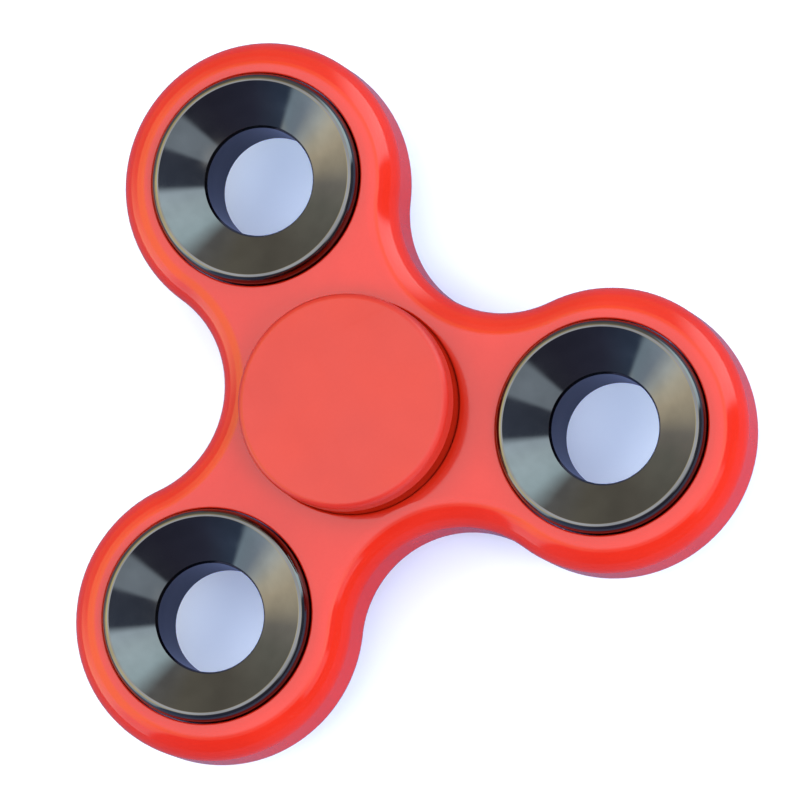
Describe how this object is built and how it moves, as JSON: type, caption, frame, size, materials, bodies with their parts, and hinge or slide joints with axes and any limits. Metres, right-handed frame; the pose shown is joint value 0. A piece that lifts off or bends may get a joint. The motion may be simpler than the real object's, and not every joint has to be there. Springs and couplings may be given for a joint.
{
  "type": "fidget spinner",
  "caption": "Lobed hand spinner that turns on a central ball bearing between flat finger caps, with a dished metal weight ring in each rounded lobe.",
  "frame": {"origin": "centre of the ball bearing, on the spin axis and midway between the two faces; it is also the centroid", "axes": "+Z along the spin axis, out of the upper finger cap; +Y from the spin axis towards the axis of lobe 1"},
  "size_m": [0.0746, 0.0687, 0.0196],
  "materials": {
    "body_plastic": "glossy red moulded plastic",
    "cap_plastic": "satin red moulded plastic",
    "weight_metal": "polished black-nickel plating over steel",
    "bearing_steel": "ground bearing steel",
    "ball_steel": "polished bearing steel",
    "cage_steel": "pressed mild steel strip",
    "shield_steel": "pressed zinc-plated steel"
  },
  "bodies": {
    "grip": {"finger_cap_top": "cap_plastic", "finger_cap_bottom": "cap_plastic", "bearing_inner_race": "bearing_steel"},
    "rotor": {"spinner_body": "body_plastic", "counterweight_ring_1": "weight_metal", "counterweight_ring_2": "weight_metal", "counterweight_ring_3": "weight_metal", "bearing_outer_race": "bearing_steel", "bearing_shield_top": "shield_steel", "bearing_shield_bottom": "shield_steel", "shield_snap_ring_top": "shield_steel", "shield_snap_ring_bottom": "shield_steel"},
    "cage": {"cage_half_top": "cage_steel", "cage_half_bottom": "cage_steel", "cage_rivet_1": "cage_steel", "cage_rivet_2": "cage_steel", "cage_rivet_3": "cage_steel", "cage_rivet_4": "cage_steel", "cage_rivet_5": "cage_steel", "cage_rivet_6": "cage_steel", "cage_rivet_7": "cage_steel"},
    "ball_1": {"bearing_ball_1": "ball_steel"},
    "ball_2": {"bearing_ball_2": "ball_steel"},
    "ball_3": {"bearing_ball_3": "ball_steel"},
    "ball_4": {"bearing_ball_4": "ball_steel"},
    "ball_5": {"bearing_ball_5": "ball_steel"},
    "ball_6": {"bearing_ball_6": "ball_steel"},
    "ball_7": {"bearing_ball_7": "ball_steel"}
  },
  "joints": [
    {"name": "rotor_spin", "type": "hinge", "parent": "grip", "child": "rotor", "pos_m": [0, 0, 0], "axis": [0, 0, 1], "continuous": true},
    {"name": "cage_spin", "type": "hinge", "parent": "grip", "child": "cage", "pos_m": [0, 0, 0], "axis": [0, 0, 1], "continuous": true},
    {"name": "ball_1_spin", "type": "hinge", "parent": "cage", "child": "ball_1", "pos_m": [0.0075, 0, 0], "axis": [0, 0, 1], "continuous": true},
    {"name": "ball_2_spin", "type": "hinge", "parent": "cage", "child": "ball_2", "pos_m": [0.00468, 0.00586, 0], "axis": [0, 0, 1], "continuous": true},
    {"name": "ball_3_spin", "type": "hinge", "parent": "cage", "child": "ball_3", "pos_m": [-0.00167, 0.00731, 0], "axis": [0, 0, 1], "continuous": true},
    {"name": "ball_4_spin", "type": "hinge", "parent": "cage", "child": "ball_4", "pos_m": [-0.00676, 0.00325, 0], "axis": [0, 0, 1], "continuous": true},
    {"name": "ball_5_spin", "type": "hinge", "parent": "cage", "child": "ball_5", "pos_m": [-0.00676, -0.00325, 0], "axis": [0, 0, 1], "continuous": true},
    {"name": "ball_6_spin", "type": "hinge", "parent": "cage", "child": "ball_6", "pos_m": [-0.00167, -0.00731, 0], "axis": [0, 0, 1], "continuous": true},
    {"name": "ball_7_spin", "type": "hinge", "parent": "cage", "child": "ball_7", "pos_m": [0.00468, -0.00586, 0], "axis": [0, 0, 1], "continuous": true}
  ],
  "couplings": [
    {"joint": "cage_spin", "follows": "rotor_spin", "ratio": 0.6323},
    {"joint": "ball_1_spin", "follows": "rotor_spin", "ratio": 1.7573},
    {"joint": "ball_2_spin", "follows": "rotor_spin", "ratio": 1.7573},
    {"joint": "ball_3_spin", "follows": "rotor_spin", "ratio": 1.7573},
    {"joint": "ball_4_spin", "follows": "rotor_spin", "ratio": 1.7573},
    {"joint": "ball_5_spin", "follows": "rotor_spin", "ratio": 1.7573},
    {"joint": "ball_6_spin", "follows": "rotor_spin", "ratio": 1.7573},
    {"joint": "ball_7_spin", "follows": "rotor_spin", "ratio": 1.7573}
  ]
}
